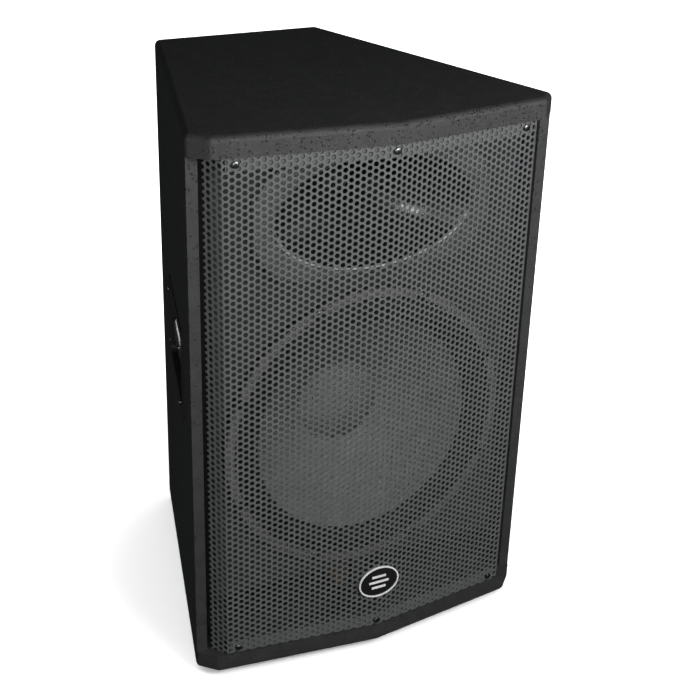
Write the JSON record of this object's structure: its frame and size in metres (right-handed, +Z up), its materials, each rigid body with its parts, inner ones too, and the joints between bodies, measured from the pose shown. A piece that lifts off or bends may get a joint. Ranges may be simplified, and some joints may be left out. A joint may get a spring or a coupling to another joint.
{
  "type": "pa speaker cabinet",
  "caption": "Tapered two-way loudspeaker cabinet with a folded perforated grille, oval horn, bass driver, side handles, rear input sockets and a pole socket.",
  "frame": {"origin": "centre of the bounding box on the floor plane under the feet", "axes": "+X to the right seen from the front, +Y from the grille to the back panel, +Z up"},
  "size_m": [0.464, 0.4599, 0.707],
  "materials": {
    "cabinet_paint": "hard textured black paint on timber",
    "baffle_paint": "matte black paint",
    "rail_paint": "dark grey paint",
    "birch_ply": "raw plywood",
    "grille_steel": "dark grey powder coat",
    "black_screw": "satin black",
    "zinc_screw": "zinc plated",
    "badge_black": "gloss black",
    "badge_silver": "bright silver",
    "basket_metal": "black enamel",
    "gasket_board": "grey fibre board",
    "surround_cloth": "doped black cloth",
    "cone_paper": "pressed paper",
    "coil_copper": "enamelled copper wire",
    "spider_cloth": "resin treated cloth",
    "plated_steel": "plated steel",
    "ferrite": "ground ferrite",
    "terminal_red": "moulded",
    "horn_plastic": "satin moulded",
    "diaphragm_metal": "thin formed foil",
    "cast_aluminium": "cast",
    "driver_cover": "moulded",
    "board_green": "solder mask",
    "nylon_white": "moulded nylon",
    "capacitor_blue": "film wrap",
    "cement_white": "ceramic cement",
    "plate_black": "satin black",
    "socket_plastic": "moulded",
    "handle_plastic": "grained moulding",
    "grip_plastic": "smooth moulding",
    "socket_steel": "black powder coat",
    "foot_rubber": "moulded",
    "lead_red": "pvc sleeve",
    "lead_blue": "pvc sleeve"
  },
  "bodies": {
    "root": {"top_panel": "cabinet_paint", "bottom_panel": "cabinet_paint", "left_side_panel": "cabinet_paint", "right_side_panel": "cabinet_paint", "back_panel": "cabinet_paint", "front_baffle": "baffle_paint", "port_shelf": "birch_ply", "port_divider": "birch_ply", "cross_brace": "birch_ply", "corner_battens": "birch_ply", "top_grille_rail": "rail_paint", "bottom_grille_rail": "rail_paint", "grille": "grille_steel", "grille_screws": "black_screw", "badge_plate": "badge_black", "badge_ring": "badge_silver", "woofer_basket": "basket_metal", "woofer_gasket": "gasket_board", "woofer_surround": "surround_cloth", "woofer_spider": "spider_cloth", "woofer_top_plate": "plated_steel", "woofer_magnet": "ferrite", "woofer_yoke": "plated_steel", "woofer_terminals": "terminal_red", "woofer_screws": "black_screw", "horn_flare": "horn_plastic", "horn_screws": "black_screw", "hf_front_plate": "plated_steel", "hf_magnet": "ferrite", "hf_top_plate": "plated_steel", "hf_clamp_ring": "cast_aluminium", "hf_rear_cover": "driver_cover", "hf_bolts": "zinc_screw", "crossover_board": "board_green", "crossover_spacers": "nylon_white", "crossover_inductors": "coil_copper", "crossover_capacitors": "capacitor_blue", "crossover_resistors": "cement_white", "input_plate": "plate_black", "input_socket_upper": "socket_plastic", "input_socket_lower": "socket_plastic", "input_plate_screws": "black_screw", "left_handle_tray": "handle_plastic", "left_handle_grip": "grip_plastic", "right_handle_tray": "handle_plastic", "right_handle_grip": "grip_plastic", "handle_screws": "black_screw", "pole_socket": "socket_steel", "pole_socket_screws": "zinc_screw", "foot_front_left": "foot_rubber", "foot_front_right": "foot_rubber", "foot_back_left": "foot_rubber", "foot_back_right": "foot_rubber", "foot_screws": "zinc_screw", "woofer_lead": "lead_red", "hf_lead": "lead_blue"},
    "woofer_cone_assembly": {"woofer_cone": "cone_paper", "woofer_dust_cap": "cone_paper", "woofer_voice_coil": "coil_copper"},
    "hf_diaphragm_assembly": {"hf_diaphragm": "diaphragm_metal"}
  },
  "joints": [
    {"name": "woofer_travel", "type": "slide", "parent": "root", "child": "woofer_cone_assembly", "axis": [0, -1, 0], "range_m": [-0.008, 0.008], "stiffness_N_per_m": 4000},
    {"name": "hf_travel", "type": "slide", "parent": "root", "child": "hf_diaphragm_assembly", "axis": [0, -1, 0], "range_m": [-0.0004, 0.0004], "stiffness_N_per_m": 1500}
  ]
}
